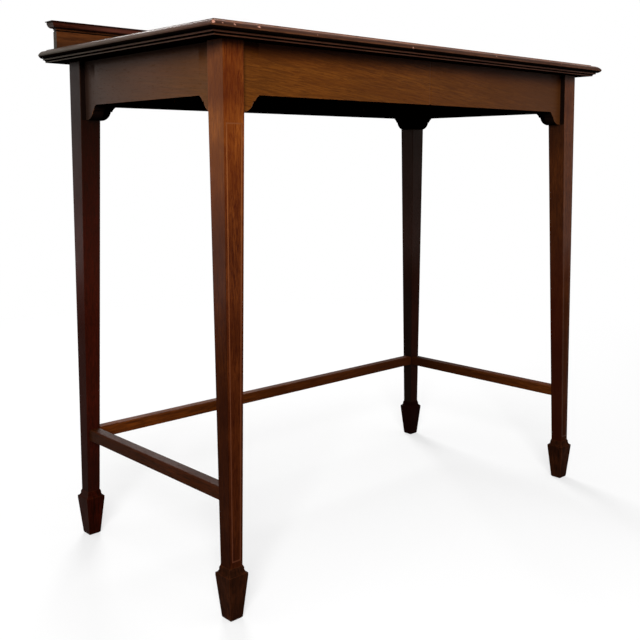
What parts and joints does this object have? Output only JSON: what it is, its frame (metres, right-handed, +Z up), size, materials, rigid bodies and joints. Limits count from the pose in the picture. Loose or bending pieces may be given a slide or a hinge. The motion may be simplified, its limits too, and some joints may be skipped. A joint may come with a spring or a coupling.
{
  "type": "writing table",
  "caption": "Mahogany writing table: moulded top with a low back gallery, plain aprons with cut brackets, tapered legs on spade feet, stretchers on three sides.",
  "frame": {"origin": "on the floor, under the middle of the top's outline", "axes": "+X to the sitter's right along the long front, +Y to the back where the gallery is, +Z up"},
  "size_m": [0.858, 0.448, 0.804],
  "materials": {
    "glue_block_wood": "bare",
    "mahogany_apron": "worn french polish, satin",
    "mahogany_foot": "worn french polish, satin",
    "mahogany_gallery": "worn french polish, satin",
    "mahogany_leg": "worn french polish, satin",
    "mahogany_stretcher": "worn french polish, satin",
    "mahogany_top": "worn french polish, satin",
    "screw_steel": "dull",
    "stringing": "worn french polish, satin"
  },
  "bodies": {
    "root": {"apron_back": "mahogany_apron", "apron_front": "mahogany_apron", "apron_left": "mahogany_apron", "apron_right": "mahogany_apron", "bracket_back_left": "mahogany_apron", "bracket_back_right": "mahogany_apron", "bracket_front_left": "mahogany_apron", "bracket_front_right": "mahogany_apron", "bracket_left_back": "mahogany_apron", "bracket_left_front": "mahogany_apron", "bracket_right_back": "mahogany_apron", "bracket_right_front": "mahogany_apron", "foot_back_left_slip_back": "mahogany_foot", "foot_back_left_slip_front": "mahogany_foot", "foot_back_left_slip_left": "mahogany_foot", "foot_back_left_slip_right": "mahogany_foot", "foot_back_right_slip_back": "mahogany_foot", "foot_back_right_slip_front": "mahogany_foot", "foot_back_right_slip_left": "mahogany_foot", "foot_back_right_slip_right": "mahogany_foot", "foot_front_left_slip_back": "mahogany_foot", "foot_front_left_slip_front": "mahogany_foot", "foot_front_left_slip_left": "mahogany_foot", "foot_front_left_slip_right": "mahogany_foot", "foot_front_right_slip_back": "mahogany_foot", "foot_front_right_slip_front": "mahogany_foot", "foot_front_right_slip_left": "mahogany_foot", "foot_front_right_slip_right": "mahogany_foot", "gallery_board": "mahogany_gallery", "gallery_cap": "mahogany_gallery", "gallery_screw_left": "screw_steel", "gallery_screw_middle": "screw_steel", "gallery_screw_right": "screw_steel", "glue_block_back_left": "glue_block_wood", "glue_block_back_right": "glue_block_wood", "glue_block_front_left": "glue_block_wood", "glue_block_front_right": "glue_block_wood", "leg_back_left": "mahogany_leg", "leg_back_right": "mahogany_leg", "leg_front_left": "mahogany_leg", "leg_front_right": "mahogany_leg", "stretcher_back": "mahogany_stretcher", "stretcher_left": "mahogany_stretcher", "stretcher_right": "mahogany_stretcher", "stringing_left_inner": "stringing", "stringing_left_lower": "stringing", "stringing_left_outer": "stringing", "stringing_left_upper": "stringing", "stringing_right_inner": "stringing", "stringing_right_lower": "stringing", "stringing_right_outer": "stringing", "stringing_right_upper": "stringing", "top": "mahogany_top", "top_screw_back_left": "screw_steel", "top_screw_back_right": "screw_steel", "top_screw_front_left": "screw_steel", "top_screw_front_right": "screw_steel", "top_screw_left": "screw_steel", "top_screw_right": "screw_steel"}
  },
  "joints": []
}
